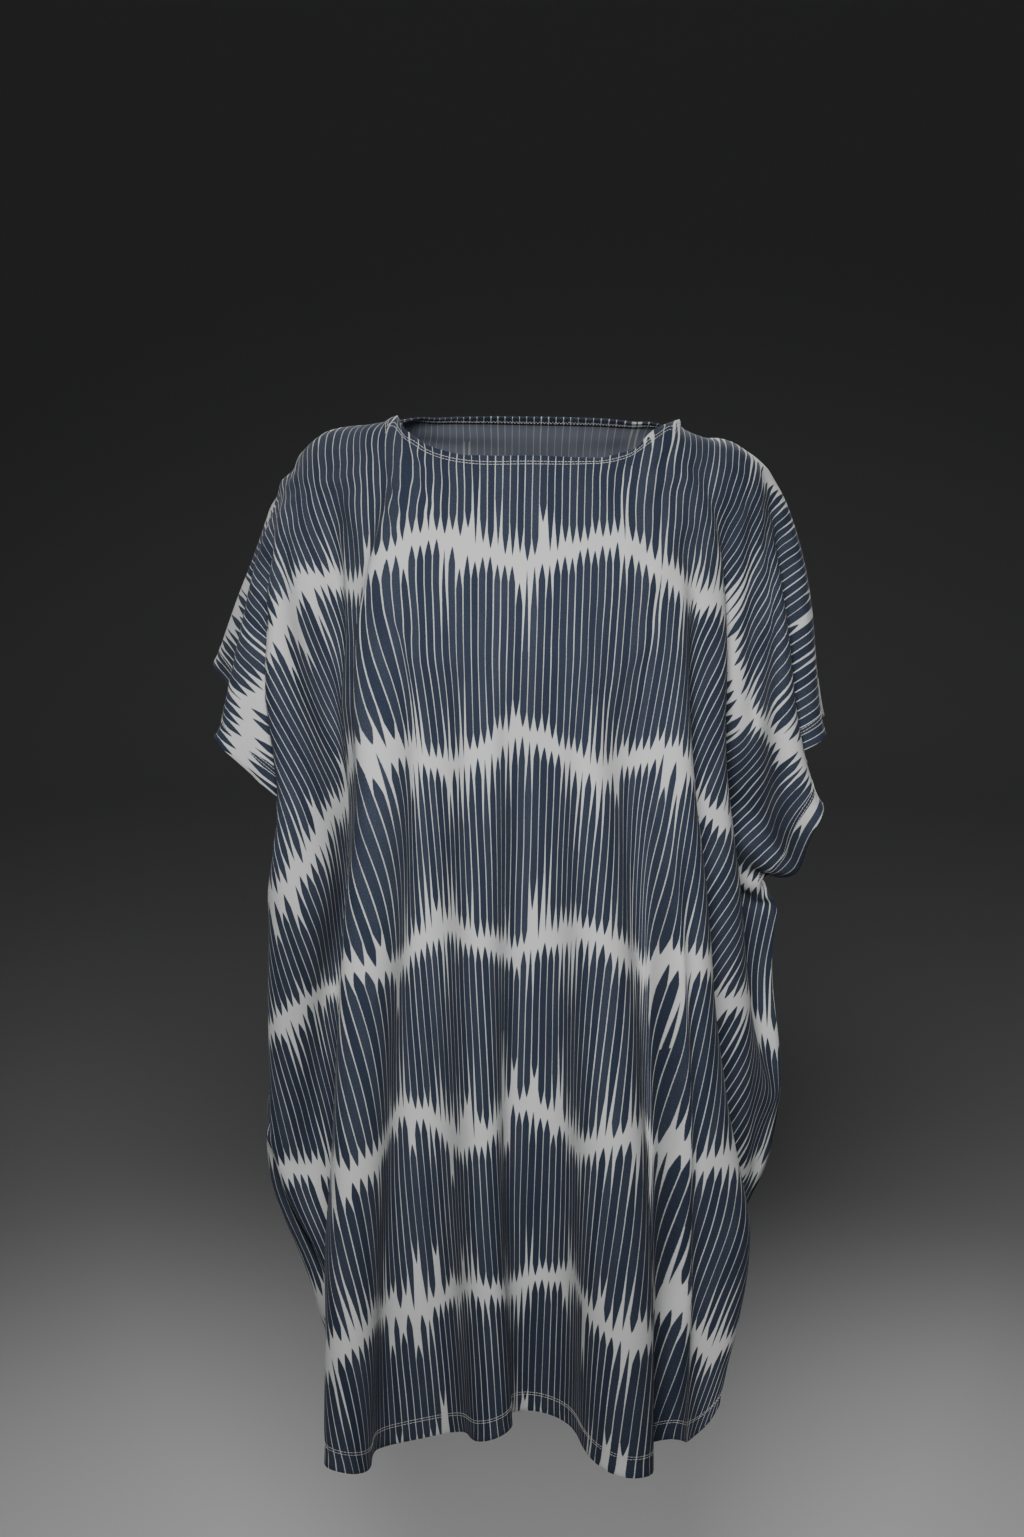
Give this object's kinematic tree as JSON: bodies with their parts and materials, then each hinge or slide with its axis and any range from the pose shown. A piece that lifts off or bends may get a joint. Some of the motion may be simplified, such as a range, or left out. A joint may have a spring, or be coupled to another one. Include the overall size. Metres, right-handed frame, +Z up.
{
  "type": "lagenlook dress",
  "caption": "Wide pull-on tunic dress in soft jersey, cut in one with short sleeves, hanging as worn with a scooped neck and a hem that dips at its corners.",
  "frame": {"origin": "midway between the shoulders, at the level where they carry the cloth", "axes": "+Z up; the wearer faces -Y, so their right side is at -X and their left at +X"},
  "size_m": [0.5486, 0.3697, 0.9631],
  "materials": {
    "jersey": "matt cotton and viscose jersey, printed in navy and off-white feathered stripes",
    "turned_hem": "turned-in edge of the same jersey, its paler unprinted side and a twin row of off-white stitching"
  },
  "bodies": {
    "root": {"front_panel": "jersey", "back_panel": "jersey", "neck_hem": "turned_hem", "sleeve_hem_right": "turned_hem", "sleeve_hem_left": "turned_hem", "front_hem": "turned_hem", "back_hem": "turned_hem"}
  },
  "joints": []
}
